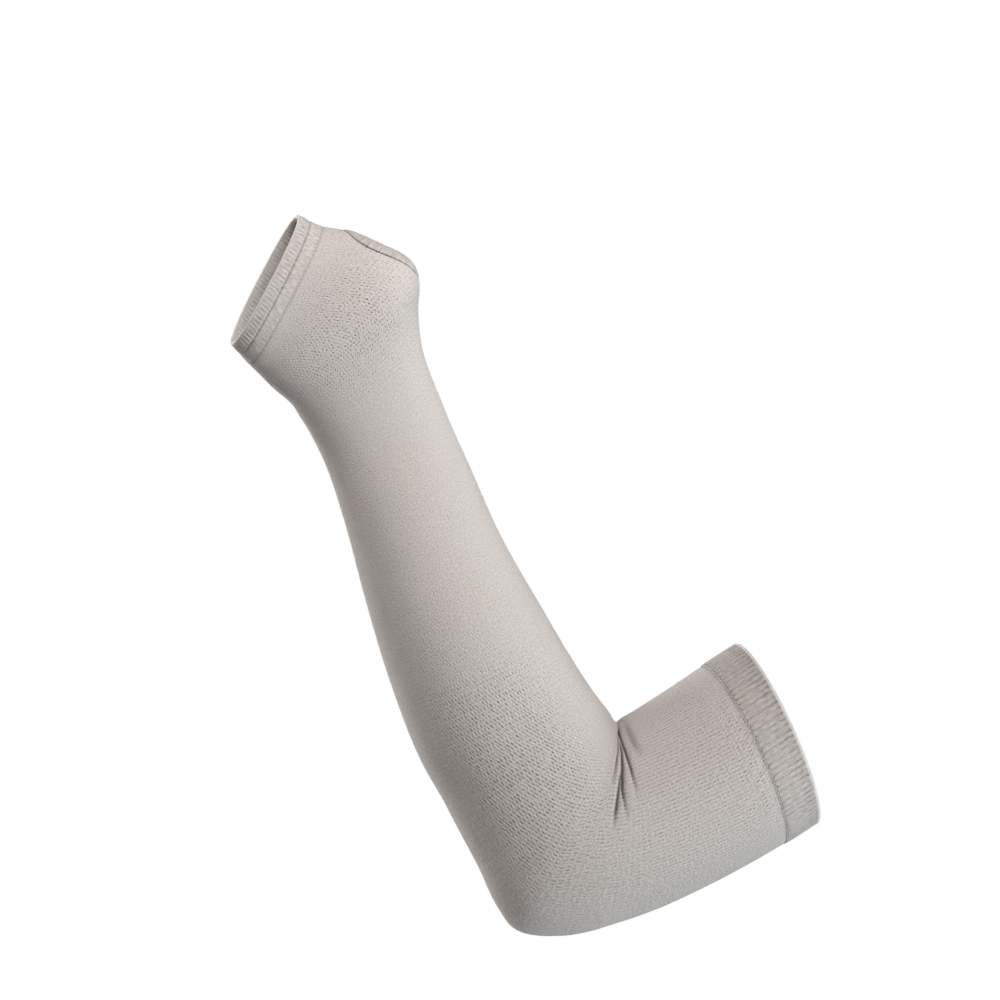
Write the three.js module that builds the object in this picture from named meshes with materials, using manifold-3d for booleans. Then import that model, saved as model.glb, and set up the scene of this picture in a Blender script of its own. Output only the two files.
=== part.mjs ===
// A knitted protective sleeve with a thumb hole, in the bent form that it has when worn.
// Millimetres, +Z up. The palm side faces -Y, the upper-arm end lies towards +X and the palm
// end towards -X. The origin is the middle of the upper-arm opening.

import * as THREE from "three";
import { ParametricGeometry } from "three/addons/geometries/ParametricGeometry.js";
import { mergeVertices } from "three/addons/utils/BufferGeometryUtils.js";
import Module from "manifold-3d";

const wasm = await Module();
wasm.setup();

const FULL_TURN = 2 * Math.PI;

// Cloth and seams
const SLEEVE_WALL = 1.2;
const EDGE_WALL = 1.8; // the cuffs and the thumb edge are doubled cloth
const EDGE_PROUD = 0.4; // how far doubled cloth stands outside the single cloth
const SEAM_GAP = 0.3;
const CLOTH_COLOUR = 0xbdb6b1;
const CUFF_COLOUR = 0xb6afaa;

// Facets
const SLEEVE_SIDES = 32;
const BINDING_SIDES = 44;
const HOLE_SIDES = 36;

// Ribs of the two cuffs, drawn wider than the knitted ribs so that each has room for two facets
const ARM_RIBS = 72;
const PALM_RIBS = 48;
const RIB_RELIEF = 0.4;

// Thumb hole: an oval cut square to the line between its two ends
const HOLE_MIDDLE = new THREE.Vector3(-191.4, -43.5, 229.6);
const HOLE_TILT = 32; // degrees the way through the hole leans from +Z towards +X
const HOLE_HALF_LONG = 21.6;
const HOLE_HALF_DEEP = 14.6;
const HOLE_CUT_HEIGHT = 26;
const BINDING_LONG = 4.6; // width of the binding at the ends of the oval
const BINDING_DEEP = 4.8; // width of the binding at its palm and back sides

// Sections across the sleeve, from the upper-arm end to the palm end.
//   x y z  middle of the section
//   turn   degrees its inner side (inside of the elbow, then the hole's side) leans from +Z to +X
//   lean   degrees its palm side is set back towards the upper-arm end
//   wide   half width in the plane of the bend
//   deep   half depth from palm side to back
//   blunt  roundness: 2 is an ellipse, more is boxier
//   egg    how much the inner side is fuller than the outer side
const COLUMNS = ["x", "y", "z", "turn", "lean", "wide", "deep", "blunt", "egg"];
const SECTIONS = {
  arm_rim:     [   0.0,   0.0,    0.0, -24.0, 10.0, 47.4, 43.5, 2.0, 0.00],
  arm_seam:    [ -16.2,  -3.4,  -10.2, -24.5, 10.0, 47.2, 43.0, 2.0, 0.00],
  upper_arm:   [ -39.5,  -8.0,  -24.3, -25.0, 10.0, 46.2, 42.5, 2.0, 0.00],
  crease_arm:  [ -60.7, -12.0,  -35.5, -16.0,  9.5, 46.1, 41.5, 2.0, 0.06],
  elbow_arm:   [ -76.4, -14.5,  -42.0,  -1.0,  8.5, 48.2, 40.5, 2.0, 0.14],
  elbow_back:  [ -91.4, -16.5,  -45.4,  14.5,  7.5, 53.2, 39.5, 2.0, 0.22],
  elbow_tip:   [-102.2, -18.0,  -44.0,  26.0,  7.0, 55.4, 39.0, 2.0, 0.24],
  elbow_fore:  [-107.0, -19.0,  -38.0,  33.0,  6.0, 52.6, 39.5, 2.0, 0.20],
  fan_fore:    [-111.8, -20.0,  -28.4,  42.0,  5.0, 48.2, 40.0, 2.0, 0.12],
  crease_fore: [-120.4, -21.5,  -12.4,  57.0,  4.0, 45.2, 41.0, 2.0, 0.05],
  belly:       [-132.7, -23.0,    7.5,  64.0,  4.0, 44.0, 40.5, 2.0, 0.00],
  upper_fore:  [-151.0, -26.0,   45.1,  64.5,  4.0, 40.3, 37.0, 2.0, 0.00],
  mid_fore:    [-166.1, -28.5,   80.6,  64.5,  4.0, 35.9, 31.5, 2.0, 0.00],
  lower_fore:  [-178.0, -31.0,  114.4,  64.5,  4.0, 33.0, 26.5, 2.0, 0.00],
  wrist:       [-188.7, -33.0,  142.5,  64.0,  5.0, 31.5, 22.5, 2.1, 0.00],
  hand_heel:   [-198.0, -36.0,  165.1,  54.0,  5.0, 33.5, 22.0, 2.2, 0.04],
  thumb_root:  [-201.5, -38.0,  178.2,  49.0,  4.0, 37.8, 23.0, 2.4, 0.07],
  thumb_base:  [-203.0, -40.0,  188.7,  45.0,  3.0, 42.8, 23.5, 2.6, 0.14],
  thumb_mid:   [-212.0, -42.8,  199.8,  40.0,  4.0, 45.2, 22.0, 2.5, 0.12],
  thumb_end:   [-228.3, -46.5,  206.9,  30.0,  8.0, 39.9, 18.0, 2.2, 0.04],
  palm_seam:   [-236.6, -48.5,  210.6,  27.4, 12.5, 37.0, 17.5, 2.3, 0.02],
  palm_rim:    [-246.0, -51.5,  217.8,  27.4, 13.0, 34.4, 16.5, 2.3, 0.00],
};

// Folds pinched in at the inside of the elbow. Each runs from the crease, at the station "from",
// out over the palm side and the back to the station "to", "reach" away from the crease.
const FOLDS = [
  { from: 84, to: 78, reach: 16, depth: 1.2, spread: 2.0 },
  { from: 94, to: 85, reach: 38, depth: 2.2, spread: 2.2 },
  { from: 101, to: 92.5, reach: 42, depth: 2.8, spread: 2.2 },
  { from: 108, to: 99, reach: 50, depth: 2.0, spread: 2.6 },
];
const ELBOW_ZONE_START = 58; // station where the upper-arm zone of the tube ends
const FOLD_START = 72;
const FOLD_END = 114;
const FOLD_TUCK = 9; // distance from the crease over which a fold grows to its full depth

// Rows along the sleeve: how far apart they stand between two stations
const ARM_STEP = 9;
const FOLD_STEP = 2.8;
const ELBOW_STEP = 5.5;
const FOREARM_STEP = 20;
const HAND_STEP = 7;
const BINDING_STEP = 4;

// Stations, the distance along the middle of the sleeve at each named section
const sectionNames = Object.keys(SECTIONS);
const middles = sectionNames.map((name) => new THREE.Vector3(...SECTIONS[name]));
const stations = {};
middles.reduce((travelled, middle, index) => {
  const step = index === 0 ? 0 : middle.distanceTo(middles[index - 1]);
  stations[sectionNames[index]] = travelled + step;
  return travelled + step;
}, 0);
const sectionTable = new THREE.CubicInterpolant(
  Object.values(stations),
  Object.values(SECTIONS).flat(),
  COLUMNS.length,
);

function sectionAt(station) {
  const values = sectionTable.evaluate(station);
  return Object.fromEntries(COLUMNS.map((name, index) => [name, values[index]]));
}

// One side of the rounded-box curve whose power 2 is a circle
function bluntCurve(value, blunt) {
  return Math.sign(value) * Math.abs(value) ** (2 / blunt);
}

// Outer face of the smooth sleeve. Angle 0 is its inner side, a quarter turn is its palm side.
function surfacePoint(station, angle) {
  const section = sectionAt(station);
  const turn = THREE.MathUtils.degToRad(section.turn);
  const lean = THREE.MathUtils.degToRad(section.lean);
  const toInner = new THREE.Vector3(Math.sin(turn), 0, Math.cos(turn));
  const toHand = new THREE.Vector3(-Math.cos(turn), 0, Math.sin(turn));
  const toPalmSide = new THREE.Vector3(0, -Math.cos(lean), 0);
  toPalmSide.addScaledVector(toHand, -Math.sin(lean));
  const across = bluntCurve(Math.cos(angle), section.blunt);
  const out = bluntCurve(Math.sin(angle), section.blunt) * (1 + section.egg * across);
  return new THREE.Vector3(section.x, section.y, section.z)
    .addScaledVector(toInner, section.wide * across)
    .addScaledVector(toPalmSide, section.deep * out);
}

function surfaceNormal(station, angle) {
  const stationStep = 0.5;
  const angleStep = 0.01;
  const along = surfacePoint(station + stationStep, angle);
  along.sub(surfacePoint(station - stationStep, angle));
  const around = surfacePoint(station, angle + angleStep);
  around.sub(surfacePoint(station, angle - angleStep));
  return along.cross(around).normalize();
}

// How far the folds draw the cloth in
function foldDepth(station, angle) {
  if (station < FOLD_START || station > FOLD_END) {
    return 0;
  }
  const fromCrease = sectionAt(station).wide * (1 - Math.cos(angle));
  let depth = 0;
  for (const fold of FOLDS) {
    const line = THREE.MathUtils.lerp(fold.from, fold.to, Math.min(fromCrease / fold.reach, 1));
    const crossing = Math.exp(-(((station - line) / fold.spread) ** 2));
    const grow = THREE.MathUtils.smoothstep(fromCrease, 0, FOLD_TUCK);
    const fade = 1 - THREE.MathUtils.smoothstep(fromCrease, FOLD_TUCK, fold.reach);
    depth += fold.depth * crossing * grow * fade;
  }
  return depth;
}

function clothPoint(station, angle, height) {
  const normal = surfaceNormal(station, angle);
  return surfacePoint(station, angle).addScaledVector(normal, height - foldDepth(station, angle));
}

// Evenly spaced stations, the first and the last included
function stationsBetween(first, last, step) {
  const count = Math.ceil((last - first) / step);
  return Array.from({ length: count + 1 }, (_, index) => first + ((last - first) * index) / count);
}

class SectionLoop extends THREE.Curve {
  constructor(station) {
    super();
    this.station = station;
  }

  getPoint(t) {
    return surfacePoint(this.station, t * FULL_TURN);
  }
}

// Angles that stand evenly along the cloth round a section
function evenAngles(station, count) {
  const loop = new SectionLoop(station);
  return Array.from({ length: count }, (_, index) => loop.getUtoTmapping(index / count) * FULL_TURN);
}

function equalAngles(count) {
  return Array.from({ length: count }, (_, index) => (index / count) * FULL_TURN);
}

function solidFrom(geometry) {
  geometry.deleteAttribute("normal");
  geometry.deleteAttribute("uv");
  const welded = mergeVertices(geometry);
  return new wasm.Manifold(
    new wasm.Mesh({
      numProp: 3,
      vertProperties: new Float32Array(welded.attributes.position.array),
      triVerts: new Uint32Array(welded.index.array),
    }),
  );
}

// A closed wall from rows that run along the outside, over the edge and back along the inside.
// A row has a station, a height over the sleeve's face and the relief of its ribs.
function wallSolid(rows, angles) {
  const shape = (u, v, target) => {
    const row = rows[Math.round(u * rows.length) % rows.length];
    const side = Math.round(v * angles.length) % angles.length;
    const rib = side % 2 === 0 ? row.relief / 2 : -row.relief / 2;
    target.copy(clothPoint(row.station, angles[side], row.height + rib));
  };
  return solidFrom(new ParametricGeometry(shape, rows.length, angles.length));
}

function plainWall(stationList, outerHeight, innerHeight, angles) {
  const outside = stationList.map((station) => ({ station, height: outerHeight, relief: 0 }));
  const inside = stationList.map((station) => ({ station, height: innerHeight, relief: 0 }));
  return wallSolid([...outside, ...inside.reverse()], angles);
}

// A cuff from its profile: rows of how far across it they stand (0 to 1), height and ribs
function cuffSolid(first, last, profile, ribs) {
  const innerHeight = EDGE_PROUD - EDGE_WALL;
  const outside = profile.map(({ across, height, relief }) => ({
    station: THREE.MathUtils.lerp(first, last, across),
    height,
    relief,
  }));
  const inside = [
    { station: last, height: innerHeight, relief: 0 },
    { station: first, height: innerHeight, relief: 0 },
  ];
  return wallSolid([...outside, ...inside], evenAngles((first + last) / 2, 2 * ribs));
}

function holeCutter(halfLong, halfDeep) {
  const cutter = new THREE.CylinderGeometry(1, 1, HOLE_CUT_HEIGHT, HOLE_SIDES);
  cutter.scale(halfLong, 1, halfDeep);
  cutter.rotateX(Math.PI / 2);
  cutter.rotateY(THREE.MathUtils.degToRad(HOLE_TILT));
  cutter.translate(...HOLE_MIDDLE.toArray());
  return solidFrom(cutter);
}

// The knitted tube, in zones that each hold their own hollow
const tubeStations = [
  ...stationsBetween(stations.arm_seam, FOLD_START, ARM_STEP),
  ...stationsBetween(FOLD_START, FOLD_END, FOLD_STEP).slice(1),
  ...stationsBetween(FOLD_END, stations.crease_fore, ELBOW_STEP).slice(1),
  ...stationsBetween(stations.crease_fore, stations.hand_heel, FOREARM_STEP).slice(1),
  ...stationsBetween(stations.hand_heel, stations.palm_seam, HAND_STEP).slice(1),
];

function tubeZone(firstSeam, lastSeam) {
  const first = firstSeam + SEAM_GAP / 2;
  const last = lastSeam - SEAM_GAP / 2;
  const between = tubeStations.filter((station) => station > first + SEAM_GAP && station < last - SEAM_GAP);
  return plainWall([first, ...between, last], 0, -SLEEVE_WALL, equalAngles(SLEEVE_SIDES));
}

const upperArmTube = tubeZone(stations.arm_seam, ELBOW_ZONE_START);
const elbowTube = tubeZone(ELBOW_ZONE_START, stations.belly);
const forearmTube = tubeZone(stations.belly, stations.wrist);
const handTube = tubeZone(stations.wrist, stations.palm_seam).subtract(
  holeCutter(HOLE_HALF_LONG, HOLE_HALF_DEEP),
);

// The ribbed welt of the upper arm, with a rolled rim and a drawn-in seam
const ARM_PROFILE = [
  { across: 0.0, height: -0.2, relief: 0 },
  { across: 0.06, height: 0.5, relief: RIB_RELIEF },
  { across: 0.92, height: 0.5, relief: RIB_RELIEF },
  { across: 1.0, height: 0.0, relief: 0 },
];
const armCuff = cuffSolid(stations.arm_rim, stations.arm_seam - SEAM_GAP / 2, ARM_PROFILE, ARM_RIBS);

// The palm edge: a smooth band, a groove and a ribbed band
const PALM_PROFILE = [
  { across: 0.0, height: 0.0, relief: 0 },
  { across: 0.08, height: 0.4, relief: 0 },
  { across: 0.42, height: 0.4, relief: RIB_RELIEF / 2 },
  { across: 0.5, height: -0.3, relief: 0 },
  { across: 0.58, height: 0.4, relief: RIB_RELIEF },
  { across: 0.94, height: 0.4, relief: RIB_RELIEF },
  { across: 1.0, height: -0.2, relief: 0 },
];
const palmCuff = cuffSolid(stations.palm_seam + SEAM_GAP / 2, stations.palm_rim, PALM_PROFILE, PALM_RIBS);

// The binding lies in the sleeve's face, between the seam of the hole and the hole itself
const bindingStations = stationsBetween(stations.hand_heel, stations.palm_seam, BINDING_STEP);
const bindingWall = plainWall(
  bindingStations,
  EDGE_PROUD,
  EDGE_PROUD - EDGE_WALL,
  equalAngles(BINDING_SIDES),
);
const thumbBinding = bindingWall
  .intersect(holeCutter(HOLE_HALF_LONG - SEAM_GAP, HOLE_HALF_DEEP - SEAM_GAP))
  .subtract(holeCutter(HOLE_HALF_LONG - BINDING_LONG, HOLE_HALF_DEEP - BINDING_DEEP));

function meshFrom(solid, name, colour) {
  const { vertProperties, triVerts } = solid.getMesh();
  const geometry = new THREE.BufferGeometry();
  geometry.setAttribute("position", new THREE.BufferAttribute(vertProperties, 3));
  geometry.setIndex(new THREE.BufferAttribute(triVerts, 1));
  geometry.computeVertexNormals();
  const material = new THREE.MeshStandardMaterial({ color: colour, roughness: 0.9, metalness: 0 });
  const mesh = new THREE.Mesh(geometry, material);
  mesh.name = name;
  return mesh;
}

const sleeve = new THREE.Group();
sleeve.name = "protective_sleeve";
sleeve.add(
  meshFrom(upperArmTube, "upper_arm_tube", CLOTH_COLOUR),
  meshFrom(elbowTube, "elbow_tube", CLOTH_COLOUR),
  meshFrom(forearmTube, "forearm_tube", CLOTH_COLOUR),
  meshFrom(handTube, "hand_tube", CLOTH_COLOUR),
  meshFrom(armCuff, "arm_cuff", CUFF_COLOUR),
  meshFrom(palmCuff, "palm_cuff", CUFF_COLOUR),
  meshFrom(thumbBinding, "thumb_binding", CUFF_COLOUR),
);

export default sleeve;
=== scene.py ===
# %% [markdown]
# # A knitted sleeve with a thumb hole
# This lesson dresses the imported model of a protective sleeve. The real one is knitted in one
# piece from light grey nylon and elastane. It has a ribbed welt at the upper-arm end, a double
# band at the palm end and a bound thumb hole. It keeps the bent form that it has when worn, and
# it is open from end to end.
#
# The first step loads the imported model. Every piece is made in its frame, so nothing has to be
# fitted afterwards.

# %% Load the imported model
import math
import bpy
import numpy as np
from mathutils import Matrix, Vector
from mathutils.bvhtree import BVHTree


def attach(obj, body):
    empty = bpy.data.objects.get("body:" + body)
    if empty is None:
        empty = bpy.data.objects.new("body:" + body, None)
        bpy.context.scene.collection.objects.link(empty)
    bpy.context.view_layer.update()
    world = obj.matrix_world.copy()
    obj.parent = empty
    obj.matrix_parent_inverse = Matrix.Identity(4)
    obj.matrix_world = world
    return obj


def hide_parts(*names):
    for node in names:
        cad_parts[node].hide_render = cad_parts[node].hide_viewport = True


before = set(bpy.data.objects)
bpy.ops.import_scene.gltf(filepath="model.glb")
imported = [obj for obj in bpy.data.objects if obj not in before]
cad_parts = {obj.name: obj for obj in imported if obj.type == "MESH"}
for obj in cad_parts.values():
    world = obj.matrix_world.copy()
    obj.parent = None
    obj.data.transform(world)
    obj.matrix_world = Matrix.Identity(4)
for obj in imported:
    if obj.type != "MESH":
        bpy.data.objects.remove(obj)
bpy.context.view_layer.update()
print("CAD nodes:", ", ".join(sorted(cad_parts)))

# %% [markdown]
# ## Sizes
# The form of the sleeve is one table, with a row for each place where its section changes, from
# the upper-arm end to the palm end. It could be sculpted instead, but a row can be read,
# measured and corrected by itself, and the CAD model has the same table. Sizes are in
# millimetres and become metres where a mesh is made.
#
# - x, y, z: the middle of the section
# - turn: degrees its inner side (inside of the elbow, then the hole's side) leans from +Z to +X
# - lean: degrees its palm side is set back towards the upper-arm end
# - wide, deep: half width in the plane of the bend, half depth from palm side to back
# - blunt: roundness, where 2 is an ellipse and more is boxier
# - egg: how much the inner side is fuller than the outer side

# %% Section table
COLUMNS = ("x", "y", "z", "turn", "lean", "wide", "deep", "blunt", "egg")
SECTIONS = {
    "arm_rim":     (0.0, 0.0, 0.0, -24.0, 10.0, 47.4, 43.5, 2.0, 0.00),
    "arm_seam":    (-16.2, -3.4, -10.2, -24.5, 10.0, 47.2, 43.0, 2.0, 0.00),
    "upper_arm":   (-39.5, -8.0, -24.3, -25.0, 10.0, 46.2, 42.5, 2.0, 0.00),
    "crease_arm":  (-60.7, -12.0, -35.5, -16.0, 9.5, 46.1, 41.5, 2.0, 0.06),
    "elbow_arm":   (-76.4, -14.5, -42.0, -1.0, 8.5, 48.2, 40.5, 2.0, 0.14),
    "elbow_back":  (-91.4, -16.5, -45.4, 14.5, 7.5, 53.2, 39.5, 2.0, 0.22),
    "elbow_tip":   (-102.2, -18.0, -44.0, 26.0, 7.0, 55.4, 39.0, 2.0, 0.24),
    "elbow_fore":  (-107.0, -19.0, -38.0, 33.0, 6.0, 52.6, 39.5, 2.0, 0.20),
    "fan_fore":    (-111.8, -20.0, -28.4, 42.0, 5.0, 48.2, 40.0, 2.0, 0.12),
    "crease_fore": (-120.4, -21.5, -12.4, 57.0, 4.0, 45.2, 41.0, 2.0, 0.05),
    "belly":       (-132.7, -23.0, 7.5, 64.0, 4.0, 44.0, 40.5, 2.0, 0.00),
    "upper_fore":  (-151.0, -26.0, 45.1, 64.5, 4.0, 40.3, 37.0, 2.0, 0.00),
    "mid_fore":    (-166.1, -28.5, 80.6, 64.5, 4.0, 35.9, 31.5, 2.0, 0.00),
    "lower_fore":  (-178.0, -31.0, 114.4, 64.5, 4.0, 33.0, 26.5, 2.0, 0.00),
    "wrist":       (-188.7, -33.0, 142.5, 64.0, 5.0, 31.5, 22.5, 2.1, 0.00),
    "hand_heel":   (-198.0, -36.0, 165.1, 54.0, 5.0, 33.5, 22.0, 2.2, 0.04),
    "thumb_root":  (-201.5, -38.0, 178.2, 49.0, 4.0, 37.8, 23.0, 2.4, 0.07),
    "thumb_base":  (-203.0, -40.0, 188.7, 45.0, 3.0, 42.8, 23.5, 2.6, 0.14),
    "thumb_mid":   (-212.0, -42.8, 199.8, 40.0, 4.0, 45.2, 22.0, 2.5, 0.12),
    "thumb_end":   (-228.3, -46.5, 206.9, 30.0, 8.0, 39.9, 18.0, 2.2, 0.04),
    "palm_seam":   (-236.6, -48.5, 210.6, 27.4, 12.5, 37.0, 17.5, 2.3, 0.02),
    "palm_rim":    (-246.0, -51.5, 217.8, 27.4, 13.0, 34.4, 16.5, 2.3, 0.00),
}
table = np.array(list(SECTIONS.values()))
steps = np.linalg.norm(np.diff(table[:, :3], axis=0), axis=1)
knots = np.concatenate([[0.0], np.cumsum(steps)])
station_of = dict(zip(SECTIONS, knots))
print(f"The sleeve is {knots[-1]:.0f} mm long on its middle line.")

# %% [markdown]
# ## The smooth form
# A station is a distance along the middle line of the sleeve. Between two rows of the table the
# values follow a cubic curve, because stretched cloth has no kinks. Blender could loft a surface
# through the sections too, but a formula gives the point and the outward direction at any
# station and angle, and the folds, seams and ribs below all need those. Angle 0 is the inner
# side of the sleeve and a quarter turn is its palm side, which faces the camera.

# %% Values between the rows
def section_at(stations):
    """The table's values at each station, as a dict of arrays."""
    spans = np.diff(knots)
    slopes = np.diff(table, axis=0) / spans[:, None]
    tangents = np.vstack([slopes[:1], (slopes[:-1] + slopes[1:]) / 2, slopes[-1:]])
    span = np.clip(np.searchsorted(knots, stations, side="right") - 1, 0, len(spans) - 1)
    t = np.clip((stations - knots[span]) / spans[span], 0, 1)[..., None]
    width = spans[span][..., None]
    values = (1 + 2 * t) * (1 - t) ** 2 * table[span]
    values = values + t * (1 - t) ** 2 * width * tangents[span]
    values = values + t * t * (3 - 2 * t) * table[span + 1]
    values = values + t * t * (t - 1) * width * tangents[span + 1]
    return dict(zip(COLUMNS, np.moveaxis(values, -1, 0)))


middle_section = section_at(np.array(knots[-1] / 2))
print(f"Halfway along, the sleeve is {2 * middle_section['wide']:.0f} mm wide.")

# %% Points on the smooth sleeve
def signed_power(value, power):
    return np.sign(value) * np.abs(value) ** power


def smooth_face(stations, angles):
    """Points and outward directions on the smooth sleeve."""
    section = section_at(stations)
    turn = np.radians(section["turn"])
    lean = np.radians(section["lean"])
    level = np.zeros_like(turn)
    to_inner = np.stack([np.sin(turn), level, np.cos(turn)], -1)
    to_palm_end = np.stack([-np.cos(turn), level, np.sin(turn)], -1)
    to_palm_side = np.stack([level, -np.cos(lean), level], -1)
    to_palm_side = to_palm_side - to_palm_end * np.sin(lean)[..., None]
    across = signed_power(np.cos(angles), 2 / section["blunt"])
    round_out = signed_power(np.sin(angles), 2 / section["blunt"])
    out = round_out * (1 + section["egg"] * across)
    points = np.stack([section["x"], section["y"], section["z"]], -1)
    points = points + to_inner * (section["wide"] * across)[..., None]
    points = points + to_palm_side * (section["deep"] * out)[..., None]
    slope_in = signed_power(across, section["blunt"] - 1) / section["wide"]
    slope_out = signed_power(round_out, section["blunt"] - 1) / section["deep"]
    outward = to_inner * slope_in[..., None] + to_palm_side * slope_out[..., None]
    outward = outward / np.linalg.norm(outward, axis=-1, keepdims=True)
    return points, outward


inner_wrist = smooth_face(np.array(station_of["wrist"]), np.array(0.0))[0]
print("Inner side at the wrist, mm:", inner_wrist.round(1))

# %% [markdown]
# ## Folds at the inside of the elbow
# The bend pinches the slack cloth into a fan of pleats that starts at the crease. A cloth
# simulation makes folds too, but it can't be told where each one goes. So each fold here is a
# row of a table: a narrow slit in a soft hollow, with a low ridge on its forearm side.
#
# - line: the station of the fold at each distance from the crease in FROM_CREASE
# - start, end: how far from the crease it begins and ends
# - slit, narrow, broad: how deep the slit is, and its half width at its start and its end
# - soft, soft_wide: how deep the hollow round it is, and its half width
# - shade: how dark the slit is, because hardly any light gets into it

# %% Fold table
FROM_CREASE = (0.0, 6.0, 12.0, 20.0, 30.0, 45.0)
FOLD_COLUMNS = ("line", "start", "end", "slit", "narrow", "broad", "soft", "soft_wide", "shade")
FOLDS = (
    ((105.0, 105.0, 105.0, 105.0, 105.0, 105.0), -8.0, 9.0, 0.0, 1.0, 1.0, 1.5, 1.6, 0.0),
    ((83.0, 82.3, 80.4, 79.0, 78.0, 77.0), -1.0, 20.0, 0.0, 1.3, 1.6, 1.8, 1.8, 0.32),
    ((101.0, 96.8, 92.0, 88.6, 86.3, 85.0), -8.0, 40.0, 1.2, 0.45, 0.90, 0.9, 2.2, 1.0),
    ((104.0, 101.5, 97.3, 96.2, 95.5, 91.3), 5.0, 49.0, 1.5, 0.45, 1.00, 0.9, 2.0, 1.0),
    ((104.0, 101.0, 97.6, 97.4, 98.2, 98.4), 19.0, 53.0, 1.4, 0.50, 1.00, 0.9, 2.0, 0.9),
    ((108.0, 105.5, 104.0, 104.4, 104.4, 104.4), -2.0, 32.0, 0.9, 0.40, 0.80, 0.7, 1.8, 0.6),
)
print(len(FOLDS), "folds")

# %% Depth and shade of the folds
FOLDS_FROM = 72.0
FOLDS_TO = 118.0
BACK_SHIFT = 0.08
FOLD_RISE = 6.0
FOLD_FADE = 0.5
RIDGE = 0.5
RIDGE_PLACE = 1.9
RIDGE_HALF = 1.0
STRETCH_REACH = 0.5
SMALLEST_STRETCH = 0.12


def smoothstep(value, low, high):
    t = np.clip((value - low) / (high - low), 0, 1)
    return t * t * (3 - 2 * t)


def bell(distance, half_width):
    return np.exp(-(distance / half_width) ** 2)


def row_stretch(stations, angles):
    """How far apart two rows are on the face, for each millimetre between their stations."""
    ahead = smooth_face(stations + STRETCH_REACH, angles)[0]
    behind = smooth_face(stations - STRETCH_REACH, angles)[0]
    apart = np.linalg.norm(ahead - behind, axis=-1)
    return np.maximum(apart / (2 * STRETCH_REACH), SMALLEST_STRETCH)


def folds_at(stations, angles):
    """How far the folds draw the cloth in, in millimetres, and how dark they are, from 0 to 1."""
    from_crease = section_at(stations)["wide"] * (1 - np.cos(angles))
    on_back = np.where(np.sin(angles) < 0, BACK_SHIFT * from_crease, 0.0)
    stretch = row_stretch(stations, angles)
    depth = np.zeros_like(from_crease)
    shade = np.zeros_like(from_crease)
    for fold_row in FOLDS:
        fold = dict(zip(FOLD_COLUMNS, fold_row))
        line = np.interp(from_crease, FROM_CREASE, fold["line"]) + on_back
        along = np.clip((from_crease - fold["start"]) / (fold["end"] - fold["start"]), 0, 1)
        rise = smoothstep(from_crease, fold["start"], fold["start"] + FOLD_RISE)
        strength = rise * (1 - smoothstep(along, FOLD_FADE, 1.0))
        away = (stations - line) * stretch
        slit = bell(away, fold["narrow"] + (fold["broad"] - fold["narrow"]) * along)
        hollow = fold["soft"] * bell(away, fold["soft_wide"])
        ridge = RIDGE * bell(away - RIDGE_PLACE, RIDGE_HALF)
        depth = depth + (fold["slit"] * slit + hollow - ridge) * strength
        shade = np.maximum(shade, fold["shade"] * slit * strength)
    return depth, shade


fold_stations = np.linspace(FOLDS_FROM, FOLDS_TO, 200)[:, None]
palm_side_angles = np.linspace(0, math.pi, 200)[None, :]
print(f"Deepest fold: {folds_at(fold_stations, palm_side_angles)[0].max():.1f} mm")

# %% [markdown]
# ## The thumb hole's place
# The hole is an oval near the palm end, and the line of its edge is nearly straight when seen
# from the palm side. Cutting a curved face with an oval gives a bulging edge. The bulge could be
# trimmed afterwards, but then the binding would have to be trimmed too. So the cloth dips a
# little there before anything is cut, and the tube and the binding both follow it.

# %% The hole's place and the cloth with all its dips
HOLE_MIDDLE = np.array([-191.4, -43.5, 229.6])
HOLE_TILT = math.radians(32)
DIP_DEPTH = 1.2
DIP_PLACE = 3.0
DIP_HALF = 9.5
DIP_FROM = -14.0
DIP_FULL = -2.0
hole_way = np.array([math.sin(HOLE_TILT), 0.0, math.cos(HOLE_TILT)])
hole_long = np.array([math.cos(HOLE_TILT), 0.0, -math.sin(HOLE_TILT)])


def hole_dip(points):
    """How far the cloth dips at the hole, in millimetres."""
    along_hole = (points - HOLE_MIDDLE) @ hole_long
    over_hole = (points - HOLE_MIDDLE) @ hole_way
    dip = DIP_DEPTH * bell(along_hole - DIP_PLACE, DIP_HALF)
    return dip * smoothstep(over_hole, DIP_FROM, DIP_FULL)


def cloth(stations, angles, heights):
    """Points of the cloth at heights over the smooth face."""
    stations, angles, heights = np.broadcast_arrays(stations, angles, heights)
    points, outward = smooth_face(stations, angles)
    points = points - hole_way * hole_dip(points)[..., None]
    return points + outward * (heights - folds_at(stations, angles)[0])[..., None]


print(f"Dip at the middle of the hole: {hole_dip(HOLE_MIDDLE):.1f} mm")

# %% [markdown]
# ## From rows to a mesh
# Every band of the sleeve is a closed wall, as real cloth is: its rows run along the outside,
# over the edge and back along the inside. A Solidify modifier can thicken an open sheet, but
# here each edge has a profile of its own, so the rows make both faces.
#
# The knit map is the UV map. Its u is the share of the way round and its v is the distance along
# the sleeve in millimetres, so that the knit follows the cloth round the bend.

# %% A closed mesh from rows of points
MM = 0.001
KNIT_MAP = "KnitMap"


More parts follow.
